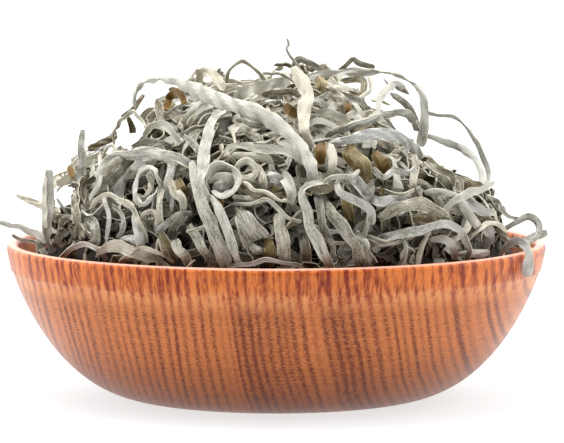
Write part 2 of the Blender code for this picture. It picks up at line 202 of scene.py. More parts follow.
    "white_slip": (4, 5, 0.95, 6, [(24, 113), (25, 108), (25, 103), (23, 98)]),
    "right_outer_loop": ((2.4, 1.7, 2.4, 3), (25, 35, 10, 10), 0.7, -2,
        [(66, 127), (72, 126), (79, 125), (85, 120), (90, 112), (94, 103), (95, 92)]),
    "right_second_loop": (3.4, 10, 0.9, 3, [(65, 117), (72, 115), (80, 112), (87, 108), (91, 102), (92, 95)]),
    "right_cross": (4, 5, 0.9, 7, [(66, 91), (74, 91), (80, 89), (84, 84), (88, 79), (92, 74)]),
    "right_counter": (3.4, 5, 0.9, 7, [(74, 82), (79, 87), (86, 91), (93, 93), (97, 96)]),
    "counter_leaf": (4.4, 0, 0.8, 5, [(83, 90), (87, 86), (92, 83), (97, 82)]),
    "dark_band": (4, 0, 0, 3, [(81, 98), (86, 95), (92, 94)]),
    "right_fall": (3.6, 0, 0.55, 7, [(62, 108), (62, 101), (61, 94), (64, 87)]),
    "right_twist": (3.2, 10, 0.65, 6, [(68, 106), (72, 102), (78, 99), (80, 94)]),
    "flank_white": (4, 0, 0.95, 7, [(41, 90), (46, 87), (53, 88), (60, 88)]),
    "flank_thin": (1.8, 20, 0.85, 7, [(44, 93), (52, 91), (59, 91), (64, 94)]),
    "flank_ribbon": (3, 10, 0.8, 6, [(43, 102), (48, 98), (53, 101), (59, 100), (63, 103)]),
    "right_fold": ((5, 6, 6, 4, 4), 5, 0.5, 8, [(46, 80), (54, 84), (62, 86), (70, 84), (75, 81), (77, 76)]),
    "fold_shade": (4.4, 0, 0, 5, [(58, 79), (66, 80), (73, 79)]),
    "right_low_band": ((4, 4, 4, 3.6, 3, 3), (0, 0, 0, 5, 25, 30), 0.8, 8,
        [(45, 71), (54, 72), (62, 74), (70, 76), (78, 77), (83, 73), (86, 67), (86, 60)]),
    "low_arc": (1.8, 30, 0.75, 7, [(40, 72), (45, 70), (52, 70), (58, 73)]),
    "lower_arc": (1.6, 30, 0.7, 6, [(40, 70), (46, 68), (52, 68), (58, 71)]),
    "right_low_curl": (1.7, 35, 0.85, 7, [(55, 72), (58, 68), (58, 63), (55, 59)]),
    "right_low_bit": (3.4, 0, 0.95, 6, [(69, 70), (75, 70), (79, 67), (80, 61)]),
    "right_floor": (3.4, 0, 0.85, 4, [(80, 63), (87, 64), (95, 64)]),
    "right_arc": (2.2, 20, 0.9, 6, [(103, 74), (99, 77), (94, 77), (90, 74), (86, 70)]),
    "right_leaf": (4.4, 0, 0.85, 5, [(91, 76), (95, 74), (96, 70), (93, 67)]),
    "brown_bar": (2.6, 0, 0.05, 5, [(90, 77), (94, 79), (99, 78)]),
    "edge_line": (1.8, 20, 0.85, 3, [(94, 90), (99, 88), (101, 83), (106, 80), (110, 79)]),
}

# Broad brown, olive and amber pieces among them, given in the same way.
AMBER_PIECES = {
    "amber_leaf": ((5, 9, 10, 6), 0, 0.5, 7, [(32, 113), (34, 107), (38, 102), (41, 96)]),
    "amber_drop": (5, 0, 0.4, 6, [(31, 90), (32, 85), (33, 79)]),
    "brown_slip": (5.4, 0, 0.1, 5, [(20, 113), (20, 109), (20, 104)]),
    "amber_slip": (4.6, 0, 0.7, 5, [(19, 143), (20, 139), (20, 134)]),
    "rust_slip": (5.4, 0, 0.2, 6, [(44, 109), (47, 105), (50, 101)]),
    "amber_fleck": (3, 0, 0.6, 5, [(45, 93), (48, 92), (50, 90)]),
    "rust_drop": (4.4, 0, 0.45, 6, [(-4, 71), (-3, 65), (-3, 58)]),
    "olive_tab": (3.4, 0, 0.05, 1, [(-92, 103), (-91, 98)]),
    "brown_curl": (3.8, 0, 0, 3, [(-49, 128), (-48, 133), (-44, 136), (-41, 131)]),
    "tan_chip": (2.6, 0, 0.6, 3, [(-48, 137), (-45, 137), (-42, 135)]),
    "brown_knob": (3.4, 0, 0, 5, [(32, 131), (32, 128), (32, 125)]),
    "olive_drop": (4.4, 0, 0, 5, [(-28, 90), (-26, 87), (-25, 84)]),
    "ochre_patch": (4, 0, 0.25, 4, [(-44, 97), (-42, 93), (-40, 90)]),
    "olive_square": (4.4, 0, 0.1, 5, [(4, 130), (7, 128), (10, 126)]),
}

# Strips that stand free at the edges: their points are in the room, as (sideways, depth, height), with no lift.
PLACED_STRIPS = {
    "left_edge": (4.4, 0, 0.62, 0, [(-100, -22, 103), (-100, -24, 94), (-100, -27, 86), (-101, -29, 77), (-98, -29, 67)]),
    "left_edge_lining": (2.4, 20, 1, 0, [(-102, -23, 100), (-102, -26, 91), (-102, -29, 84), (-101, -31, 78)]),
    "left_shoulder": (3.8, 5, 0.3, 0,
        [(-86, -12, 120), (-86, -17, 110), (-86, -21, 100), (-85, -25, 90), (-82, -27, 82)]),
    "left_back_band": (4, 5, 0.7, 0, [(-98, -8, 96), (-92, -10, 98), (-86, -12, 99)]),
    "left_twig": (1.2, 10, 0.2, 0, [(-97, -16, 90), (-95, -18, 87), (-92, -20, 83)]),
    "left_spur": ((2, 3.4, 4), 5, 0.85, 0, [(-115, -14, 91), (-109, -17, 89), (-103, -20, 87), (-95, -26, 84)]),
    "left_reach": ((2.4, 3.2, 4), 5, 0.8, 0, [(-123, -16, 79), (-116, -18, 78), (-109, -21, 76), (-101, -28, 72)]),
    "left_under_reach": (1.8, 10, 0.1, 0, [(-117, -18, 74), (-112, -20, 72), (-104, -27, 71)]),
    "right_rim_loop": (2.9, (10, 5, 25, 0), 0.25, 0,
        [(100, -24, 76), (106, -21, 80), (112, -19, 82), (116, -19, 79), (115, -23, 74), (107, -30, 69)]),
    "right_rim_end": (3.6, 0, 0.6, 0, [(104, -30, 70), (110, -26, 72), (115, -22, 74), (120, -20, 75)]),
    "right_brown_bar": (3, 5, 0.15, 0, [(97, -30, 78), (101, -31, 74), (106, -30, 71), (110, -28, 69)]),
    "rim_curl": ((2.4, 3, 3.6, 5, 6), 5, 0.85, 0,
        [(98, -42, 66), (101, -44, 72), (105, -47, 74), (109, -51, 72), (110, -55, 66), (109, -56, 59)]),
}

# Openings between the strips, as seen from the front: (sideways, height, radius)
BRIGHT_PLACES = ((-94, 88, 5), (-75, 109, 2), (-66, 113, 4), (-60, 118, 3), (-68, 121, 2), (-57, 132, 4),
                 (-55, 137, 3), (-44, 130, 3), (-19, 143, 3), (-12, 145, 4), (36, 138, 2), (37, 149, 2),
                 (46, 140, 3), (51, 130, 4), (42, 131, 3), (56, 120, 4), (60, 118, 3), (63, 131, 2), (68, 112, 2),
                 (78, 106, 5), (85, 102, 5), (104, 79, 3), (113, 77, 3), (102, 85, 2))
DARK_PLACES = ((-26, 113, 3), (-17, 117, 3), (8, 100, 3), (0, 107, 2), (20, 117, 2), (23, 133, 2), (-44, 85, 2),
               (-66, 97, 3), (-67, 75, 2), (-60, 96, 3), (8, 75, 3), (-41, 77, 2), (99, 69, 3), (80, 81, 2),
               (31, 82, 2))


# ---------------------------------------------------------------- dome and bowl shapes

def dome_fields(points):
    """Lift over the dome and outward direction, for an array of points."""
    offset = points - np.array([0, 0, RIM_HEIGHT])
    across = np.maximum(np.hypot(offset[:, 0], offset[:, 1]), 1e-6)
    upward = np.maximum(offset[:, 2], 0)
    size = (across / DOME_RADIUS) ** DOME_FULLNESS + (upward / DOME_HEIGHT) ** DOME_FULLNESS
    size = size ** (1 / DOME_FULLNESS)
    lift = np.hypot(across, upward) * (1 - 1 / size) + sag(offset)
    slope = (across / DOME_RADIUS) ** (DOME_FULLNESS - 1) / DOME_RADIUS
    rise = (upward / DOME_HEIGHT) ** (DOME_FULLNESS - 1) / DOME_HEIGHT
    outward = np.stack([slope * offset[:, 0] / across, slope * offset[:, 1] / across, rise], axis=1)
    return lift, unit(outward)


def sag(offset):
    """How far the heap lies under the plain dome in these directions."""
    round_angle = np.arctan2(offset[:, 1], offset[:, 0])
    up_angle = np.arctan2(offset[:, 2], np.hypot(offset[:, 0], offset[:, 1]))
    total = 0
    for aside, rise, half_round, half_up, depth in SUNK_PLACES:
        gap = np.mod(round_angle - aside + pi, 2 * pi) - pi
        total = total + depth * np.exp(-(gap / half_round) ** 4 - ((up_angle - rise) / half_up) ** 2)
    return total


def unit(vectors):
    return vectors / np.maximum(np.linalg.norm(vectors, axis=-1, keepdims=True), 1e-12)


def dome_points(directions, lift):
    """Points where rays from the middle of the rim's plane leave the dome, moved out by lift."""
    across = np.hypot(directions[:, 0], directions[:, 1]) / DOME_RADIUS
    upward = np.maximum(directions[:, 2], 0) / DOME_HEIGHT
    size = (across ** DOME_FULLNESS + upward ** DOME_FULLNESS) ** (1 / DOME_FULLNESS)
    surface = directions / size[:, None] + np.array([0, 0, RIM_HEIGHT])
    outward = dome_fields(surface)[1]
    return surface + outward * (np.asarray(lift) - sag(directions))[..., None]


def shown_points(rows, lift):
    """Points that show from the front at each row's sideways and height, at that lift off the dome.

    A strip well off the dome has its ends tucked in. A line of sight that passes above the lift gets its
    point nearest the dome, moved forward by the lift. From its foremost point outward, a strip runs back no
    faster than DEPTH_SLOPE times the way it shows."""
    rows = np.array([(sideways, height, lift) for sideways, height in rows], dtype=float) * MM
    if lift > FREE_LIFT:
        rows[[0, -1], 2] -= TUCK
    flat = np.stack([rows[:, 0], np.zeros(len(rows)), rows[:, 1]], axis=1)
    share = 1 - np.arange(-130 * MM, 60 * MM, MM) / EYE[1]
    sight = EYE + (flat - EYE)[:, None, :] * share[:, None]
    lift = dome_fields(sight.reshape(-1, 3))[0].reshape(len(rows), -1)
    reached = lift < rows[:, 2:]
    over = ~reached.any(axis=1)
    pick = np.where(over, lift.argmin(axis=1), reached.argmax(axis=1))
    points = sight[np.arange(len(rows)), pick]
    points[over, 1] -= rows[over, 2]
    depth = points[:, 1].copy()
    way = DEPTH_SLOPE * np.linalg.norm(np.diff(flat, axis=0), axis=1)
    front = depth.argmin()
    for index in range(front + 1, len(rows)):
        depth[index] = min(depth[index], depth[index - 1] + way[index - 1])
    for index in range(front - 1, -1, -1):
        depth[index] = min(depth[index], depth[index + 1] + way[index])
    return EYE + (flat - EYE) * (1 - depth / EYE[1])[:, None]


def body_curve(inset, stations):
    """Radius and height down the body's outer curve, moved inward along its normal by inset."""
    angle = np.linspace(BODY_START, pi / 2, stations)
    reach = (BODY_RADIUS - FOOT_RADIUS) / cos(BODY_START)
    depth = BODY_HEIGHT / (1 - sin(BODY_START))
    slope = unit(np.stack([np.cos(angle) / reach, -np.sin(angle) / depth], axis=1))
    curve = np.stack([FOOT_RADIUS + reach * np.cos(angle), depth * (1 - np.sin(angle))], axis=1)
    return curve - inset * slope


def wall_radius(heights):
    """Radius of the bowl's inner face at these heights."""
    curve = body_curve(WALL, 40)[::-1]
    inner = np.vstack([curve, [[RIM_RADIUS - WALL, RIM_HEIGHT - WALL / 2]]])
    return np.interp(heights, inner[:, 1], inner[:, 0])


# ---------------------------------------------------------------- strips as paths

def smooth_path(points, spacing):
    """A Catmull-Rom curve through the points, read off at even spacing."""
    points = np.asarray(points, dtype=float)
    ends = np.vstack([2 * points[0] - points[1], points, 2 * points[-1] - points[-2]])
    t = np.linspace(0, 1, 16, endpoint=False)[:, None]
    curve = []
    for a, b, c, d in zip(ends, ends[1:], ends[2:], ends[3:]):
        curve.append(0.5 * (2 * b + (c - a) * t + (2 * a - 5 * b + 4 * c - d) * t ** 2
                            + (3 * b - 3 * c + d - a) * t ** 3))
    curve = np.vstack(curve + [points[-1:]])
    run = np.concatenate([[0], np.cumsum(np.linalg.norm(np.diff(curve, axis=0), axis=1))])
    count = max(int(round(run[-1] / spacing)) + 1, 4)
    even = np.linspace(0, run[-1], count)
    return np.stack([np.interp(even, run, curve[:, i]) for i in range(3)], axis=1)


def named_strips(table, placing):
    """Path, face direction and width of each named strip; its face looks at the viewer, turned by its turns."""
    strips = []
    for widths, turns, bloom, lift, rows in table.values():
        path = smooth_path(placing(rows, lift), NAMED_STEP)
        run = unit(np.gradient(path, axis=0))
        side = unit(np.cross(run, EYE - path))
        face = np.cross(side, run)
        share = np.linspace(0, 1, len(path))
        inward = np.sin(pi * share)
        turn = spread(turns, share) + 12 * (1 - inward)
        turn += 9 * np.sin(np.arange(len(path)) * NAMED_STEP / (7 * MM) + len(strips))
        turn = np.radians(turn)[:, None]
        width = spread(widths, share) * (0.75 + 0.25 * inward) * MM
        strips.append({"path": path, "face": face * np.cos(turn) + side * np.sin(turn), "width": width,
                       "fixed": True, "tone": (0.75 * bloom, 1 - bloom), "section": NAMED_SECTION})
    return strips


def spread(values, share):
    """One value, or several spread evenly along a strip, read off at these shares of its length."""
    values = np.atleast_1d(values)
    return np.interp(share, np.linspace(0, 1, len(values)), values)


def room_points(rows, lift):
    """Points given in the room, which need no lift."""
    return np.array(rows, dtype=float) * MM


def wander(rng, count, steps, wave, size):
    """Smooth random curves, one for each strip: a few sine waves of random phase."""
    run = np.arange(steps) * STEP
    total = np.zeros((count, steps))
    for share in (1.0, 0.55, 0.3):
        phase = rng.uniform(0, 2 * pi, (count, 1))
        total += share ** 0.5 * np.sin(2 * pi * run[None, :] / (wave[:, None] * share) + phase)
    return total * size[:, None]


def walk_strips(rng, count, length, width, level, swing, curl, ceiling, low=0.0, high=0.98):
    """Loose strips that wander round the dome near their own level, bending and twisting as they go."""
    steps = int(length[1] / STEP)
    lengths = rng.uniform(*length, count)
    rise = low + (high - low) * (np.arange(count) + 0.5) / count
    azimuth = GOLDEN_ANGLE * np.arange(count) + rng.uniform(-0.2, 0.2, count)
    across = np.sqrt(1 - rise ** 2)
    directions = np.stack([across * np.cos(azimuth), across * np.sin(azimuth), rise], axis=1)
    base = rng.uniform(*level, count)
    place = dome_points(directions, base)
    outward = dome_fields(place)[1]
    heading = rng.normal(size=(count, 3))
    heading = unit(heading - outward * np.sum(heading * outward, axis=1, keepdims=True) * 0.8)
    face = unit(outward + rng.normal(size=(count, 3)) * 0.5)
    face = unit(face - heading * np.sum(face * heading, axis=1, keepdims=True))
    side = np.cross(heading, face)
    curls = rng.uniform(*curl, count)
    bend = wander(rng, count, steps, rng.uniform(45, 110, count) * MM, curls)
    swerve = wander(rng, count, steps, rng.uniform(60, 120, count) * MM, curls * 0.45)
    twist = wander(rng, count, steps, rng.uniform(60, 140, count) * MM, rng.uniform(8, 45, count))
    levels = base[:, None] + wander(rng, count, steps, rng.uniform(50, 120, count) * MM,
                                    rng.uniform(*swing, count))
    paths, faces = [], []
    for step in range(steps):
        paths.append(place.copy())
        faces.append(face.copy())
        lift, outward = dome_fields(place)
        pull = np.clip((levels[:, step] - lift) * 9000, -110, 110)
        inside = np.clip((place[:, 2] - RIM_HEIGHT) * -9000, 0, 90)
        steer = outward * pull[:, None] + np.array([0, 0, 1]) * inside[:, None]
        kn = bend[:, step] + np.sum(steer * face, axis=1)
        kg = swerve[:, step] + np.sum(steer * side, axis=1)
        lean = np.sum(side * outward, axis=1) * np.sign(np.sum(face * outward, axis=1) + 1e-9)
        tau = twist[:, step] + 3 * lean
        new_heading = unit(heading + STEP * (kn[:, None] * face + kg[:, None] * side))
        new_face = face + STEP * (-kn[:, None] * heading + tau[:, None] * side)
        heading = new_heading
        face = unit(new_face - heading * np.sum(new_face * heading, axis=1, keepdims=True))
        side = np.cross(heading, face)
        place = place + heading * STEP
    paths, faces = np.stack(paths, axis=1), np.stack(faces, axis=1)
    widths = rng.uniform(*width, count)
    strips = []
    for i in range(count):
        points = int(lengths[i] / STEP)
        strips.append({"path": paths[i, :points], "face": faces[i, :points], "width": widths[i], "fixed": False,
                       "ceiling": ceiling, "section": LOOSE_SECTION})
    return strips


def rolled_strips(rng, count, level, low=0.05):
    """Short strips rolled up on themselves, with a round hole through the middle."""
    strips = []
    for i in range(count):
        rise = low + (0.97 - low) * (i + 0.5) / count
        azimuth = GOLDEN_ANGLE * i * 1.7 + 0.6
        across = np.sqrt(1 - rise ** 2)
        middle = dome_points(np.array([[across * cos(azimuth), across * sin(azimuth), rise]]),
                             np.array([rng.uniform(*level)]))
        strips.append(roll(rng, middle[0], dome_fields(middle)[1][0]))
    return strips


def roll(rng, middle, outward):
    """One rolled strip: a spiral whose axis looks more or less outward."""
    axis = unit(outward + rng.normal(size=3) * 0.6)
    first = unit(np.cross(axis, rng.normal(size=3)))
    second = np.cross(axis, first)
    turns = rng.uniform(1.1, 2.3) * 2 * pi
    inner = rng.uniform(1.6, 2.8) * MM
    angle = np.arange(0, turns, 0.3)[:, None]
    radius = inner + angle * rng.uniform(0.12, 0.22) * MM
    ray = first * np.cos(angle) + second * np.sin(angle)
    path = middle + ray * radius + axis * angle * rng.uniform(-0.3, 0.3) * MM
    return {"path": path, "face": ray, "width": rng.uniform(3, 6) * MM, "fixed": True, "section": LOOSE_SECTION}


def close_pairs(points, reach):
    """Index pairs of points nearer to each other than reach, found through a grid of cells."""
    cell = np.floor(points / reach).astype(np.int64) + 2048
    key = (cell[:, 0] * 4096 + cell[:, 1]) * 4096 + cell[:, 2]
    order = np.argsort(key, kind="stable")
    ordered = key[order]
    firsts, seconds = [], []
    for dx in (0, 1):
        for dy in (-1, 0, 1):
            for dz in (-1, 0, 1):
                if (dx, dy, dz) < (0, 0, 0):
                    continue
                wanted = key + (dx * 4096 + dy) * 4096 + dz
                start = np.searchsorted(ordered, wanted, "left")
                count = np.searchsorted(ordered, wanted, "right") - start
                first = np.repeat(np.arange(len(points)), count)
                step = np.arange(len(first)) - np.repeat(np.cumsum(count) - count, count)
                second = order[np.repeat(start, count) + step]
                if (dx, dy, dz) == (0, 0, 0):
                    keep = first < second
                    first, second = first[keep], second[keep]
                firsts.append(first)
                seconds.append(second)
    first, second = np.concatenate(firsts), np.concatenate(seconds)
    near = np.linalg.norm(points[first] - points[second], axis=1) < reach
    return first[near], second[near]


def settle(strips, rounds, spacing):
    """Push crossing strips apart, keep each one's length, and keep all out of the wall and the core."""
    points = np.vstack([strip["path"] for strip in strips])
    owner = np.concatenate([np.full(len(strip["path"]), i) for i, strip in enumerate(strips)])
    index = np.concatenate([np.arange(len(strip["path"])) for strip in strips])
    free = np.concatenate([np.full(len(strip["path"]), 0.0 if strip["fixed"] else 1.0) for strip in strips])
    ceiling = np.concatenate([np.full(len(strip["path"]), strip.get("ceiling", 1.0)) for strip in strips])
    rest = np.linalg.norm(np.diff(points, axis=0), axis=1)
    linked = np.flatnonzero(owner[1:] == owner[:-1])
    inner = np.flatnonzero((owner[2:] == owner[1:-1]) & (owner[1:-1] == owner[:-2])) + 1
    for turn in range(rounds):
        if turn % 4 == 0:
            first, second = close_pairs(points, spacing * 1.6)
            other = (owner[first] != owner[second]) | (np.abs(index[first] - index[second]) > 4)
            first, second = first[other], second[other]
        gap = points[second] - points[first]
        distance = np.maximum(np.linalg.norm(gap, axis=1), 1e-7)
        push = np.maximum(spacing - distance, 0) / distance
        weight = free[first] + free[second]
        share = np.where(weight > 0, push / np.maximum(weight, 1), 0)[:, None] * gap * 0.8
        shift = np.zeros_like(points)
        hits = np.ones(len(points))
        np.add.at(shift, first, -share * free[first][:, None])
        np.add.at(shift, second, share * free[second][:, None])
        np.add.at(hits, first, 0.5)
        np.add.at(hits, second, 0.5)
        points = points + shift / hits[:, None]
        for _ in range(2):
            for parity in (0, 1):
                pair = linked[linked % 2 == parity]
                span = points[pair + 1] - points[pair]
                length = np.maximum(np.linalg.norm(span, axis=1), 1e-7)
                weight = np.maximum(free[pair] + free[pair + 1], 1)
                fix = ((length - rest[pair]) / length / weight)[:, None] * span
                points[pair] += fix * free[pair][:, None]
                points[pair + 1] -= fix * free[pair + 1][:, None]
        bent = points[inner - 1] + points[inner + 1] - 2 * points[inner]
        points[inner] += 0.06 * bent * free[inner][:, None]
        points = keep_in_place(points, free, ceiling)
    start = 0
    for strip in strips:
        strip["path"] = points[start:start + len(strip["path"])]
        start += len(strip["path"])


def keep_in_place(points, free, ceiling):
    """Points in the bowl stay off its wall, and all stay outside the core and under their own ceiling."""
    across = np.maximum(np.hypot(points[:, 0], points[:, 1]), 1e-9)
    room = np.where(points[:, 2] < RIM_HEIGHT + 1.5 * MM, wall_radius(points[:, 2]) - 2 * MM, 118 * MM)
    squeeze = np.where((across > room) & (free > 0), room / across, 1)
    points = points * np.stack([squeeze, squeeze, np.ones_like(squeeze)], axis=1)
    lift, outward = dome_fields(points)
    sunk = np.clip(-CORE_DEPTH + 1 * MM - lift, 0, 2 * MM) * free
    high = np.clip(lift - ceiling, 0, 4 * MM) * free * 0.4
    return points + outward * (sunk - high)[:, None]


# ---------------------------------------------------------------- strips as meshes

def ribbon(strip, rng):
    """Rings of points round a strip: a thin cupped section with crumpled edges and torn ends."""
    path = strip["path"]
    count = len(path)
    along = np.concatenate([[0], np.cumsum(np.linalg.norm(np.diff(path, axis=0), axis=1))])
    crinkle = np.sin(along[:, None] / (rng.uniform(1.5, 3.5, 3) * MM) + rng.uniform(0, 2 * pi, 3))
    path = path + crinkle * rng.uniform(0.1, 0.38) * MM
    run = unit(np.gradient(path, axis=0))
    face = strip["face"] - run * np.sum(strip["face"] * run, axis=1, keepdims=True)
    face = unit(face)
    side = np.cross(run, face)
    half = strip["width"] / 2
    size = np.max(half)
    point = 2.2 * min(size, 1.6 * MM)
    first, last = np.maximum(rng.uniform(0.35, 0.9, 2), size / (4.5 * MM))
    taper = np.minimum(along / point + first, 1) * np.minimum((along[-1] - along) / point + last, 1)
    phase = rng.uniform(0, 2 * pi, 6)
    waist = 1 + 0.11 * np.sin(along / (6.5 * MM) + phase[0]) + 0.08 * np.sin(along / (2.7 * MM) + phase[1])
    half_width = half * waist * taper
    cup, crease, ridge = rng.uniform(-0.45, 0.45), rng.uniform(-0.3, 0.3), rng.uniform(-0.5, 0.5)
    crumple = rng.uniform(0.35, 0.85) * MM * min(size / (2.5 * MM), 1.3)
    wave = rng.uniform(1.2, 2.2) * MM
    lean = rng.uniform(-2.5, 2.5, 2)
    rings, across = [], []
    for row, layer in ((strip["section"], 1), (strip["section"][::-1], -1)):
        for u in row:
            ruffle = np.sin(along / wave + phase[2 if u < 0 else 3] + lean[0] * u) * u * u
            fold = 1.2 * abs(np.sin(along / (2.3 * wave) + phase[4] + lean[1] * u)) - 0.6
            bow = (cup * (u * u - 0.4) + crease * abs(u - ridge)) * half_width
            height = bow + crumple * (ruffle + fold) + layer * THICKNESS / 2
            rings.append(path + side * (half_width * u)[:, None] + face * height[:, None])
            across.append(np.stack([along, half_width * u, np.full(count, layer), np.full(count, abs(u))], axis=1))
    return np.stack(rings, axis=1), np.stack(across, axis=1)


def strip_mesh(name, strips, rng, material):
    """One mesh of many closed strips, with the atlas and the attributes that its material reads."""
    points, quads, corner_uv, strand, tone, under, caps, cap_uv = [], [], [], [], [], [], [], []
    base = 0
    cursor = [0.0, 0.0, 0.0]
    area = sum((len(s["path"]) * s.get("step", STEP) + 4 * MM) * (np.max(s["width"]) * 2 + 3 * MM) for s in strips)
    side_length = np.sqrt(area) * 1.06
    for strip in strips:
        rings, grain = ribbon(strip, rng)
        count, ring = rings.shape[:2]
        along = grain[:, 0, 0]
        length, height = along[-1] + 3 * MM, np.max(strip["width"]) * 2 + 2 * MM
        if cursor[0] + length > side_length:
            cursor = [0.0, cursor[1] + cursor[2], 0.0]
        cursor[2] = max(cursor[2], height)
        u = cursor[0] + along
        v = cursor[1] + np.arange(ring + 1) / ring * (height - 1 * MM)
        cursor[0] += length
        points.append(rings.reshape(-1, 3))
        grain = grain.reshape(-1, 4)
        own = np.ones(len(grain))
        strand.append(np.stack([grain[:, 0], grain[:, 1], own * rng.uniform(0, 50)], axis=1))
        cover, hue = strip.get("tone", rng.uniform(size=2))
        tone.append(np.stack([own * cover, own * hue, grain[:, 3]], axis=1))
        under.append(grain[:, 2] < 0)
        i, j = np.meshgrid(np.arange(count - 1), np.arange(ring), indexing="ij")
        i, j = i.ravel(), j.ravel()
        k = (j + 1) % ring
        quads.append(base + np.stack([i * ring + j, i * ring + k, (i + 1) * ring + k, (i + 1) * ring + j], axis=1))
        corner_uv.append(np.stack([np.stack([u[i], v[j]], 1), np.stack([u[i], v[j + 1]], 1),
                                   np.stack([u[i + 1], v[j + 1]], 1), np.stack([u[i + 1], v[j]], 1)], axis=1))
        for station, order in ((0, 1), (count - 1, -1)):
            ends = [base + station * ring + j for j in range(ring)][::-order]
            corners = [[u[station], v[j]] for j in range(ring)][::-order]
            for q in range(ring // 2 - 1):
                quad = (q, q + 1, ring - 2 - q, ring - 1 - q)
                caps.append([ends[c] for c in quad])
                cap_uv.append([corners[c] for c in quad])
        base += count * ring
    points = np.vstack(points)
    faces = np.vstack([np.vstack(quads), np.array(caps)])
    uvs = np.vstack([np.vstack(corner_uv).reshape(-1, 2), np.array(cap_uv).reshape(-1, 2)])
    uvs = uvs / max(side_length, cursor[1] + cursor[2])
    mesh = bpy.data.meshes.new(name)
    mesh.from_pydata(points.tolist(), [], faces.tolist())
    mesh.uv_layers.new(name="OFBake").data.foreach_set("uv", uvs.ravel())
    for label, values in (("strand", strand), ("tone", tone)):
        attribute = mesh.attributes.new(label, "FLOAT_VECTOR", "POINT")
        attribute.data.foreach_set("vector", np.vstack(values).ravel())
    mesh.attributes.new("under", "FLOAT", "POINT").data.foreach_set("value", np.concatenate(under).astype(float))
    mesh.shade_smooth()
    mesh.set_sharp_from_angle(angle=radians(32))
    mesh.materials.append(material)
    return add_piece(name, mesh)


def add_piece(name, mesh):
    piece = bpy.data.objects.new(name, mesh)
    bpy.context.scene.collection.objects.link(piece)
    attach(piece, "root")
    return piece


# ---------------------------------------------------------------- materials

def node(tree, kind, **inputs):
    """A new node with some of its sockets set, by name or, where names repeat, by i0, i1..."""
    made = tree.nodes.new(kind)
    for key, value in inputs.items():
        if key.startswith("set_"):
            setattr(made, key[4:], value)
            continue
        socket = made.inputs[int(key[1:])] if key[0] == "i" and key[1:].isdigit() else made.inputs[key.replace("_", " ")]
        if isinstance(value, bpy.types.NodeSocket):
            tree.links.new(value, socket)
        else:
            socket.default_value = value
    return made


def math(tree, operation, a, b=0.0, c=0.0):
    return node(tree, "ShaderNodeMath", set_operation=operation, i0=a, i1=b, i2=c).outputs[0]


def smooth(tree, value, low, high):
    """0 below low, 1 above high, and a soft step between."""
    made = node(tree, "ShaderNodeMapRange", set_interpolation_type="SMOOTHSTEP", i0=value, i1=low, i2=high)
    return made.outputs[0]


def blend(tree, factor, a, b, mode="MIX"):
    made = tree.nodes.new("ShaderNodeMix")
    made.data_type = "RGBA"
    made.blend_type = mode
    for socket, value in ((made.inputs[0], factor), (made.inputs[6], a), (made.inputs[7], b)):
        if isinstance(value, bpy.types.NodeSocket):
            tree.links.new(value, socket)
        elif isinstance(value, tuple):
            socket.default_value = (*value, 1)
        else:
            socket.default_value = value
    return made.outputs[2]


def noise(tree, vector, scale, detail=2.0, roughness=0.5):
    made = node(tree, "ShaderNodeTexNoise", Vector=vector, Scale=scale, Detail=detail, Roughness=roughness)
    return made.outputs[0]


def scaled(tree, vector, x, y, z):
    return node(tree, "ShaderNodeVectorMath", set_operation="MULTIPLY", i0=vector, i1=(x, y, z)).outputs[0]


def new_material(name):
    material = bpy.data.materials.new(name)
    material.use_nodes = True
    tree = material.node_tree
    return material, tree, tree.nodes["Principled BSDF"]


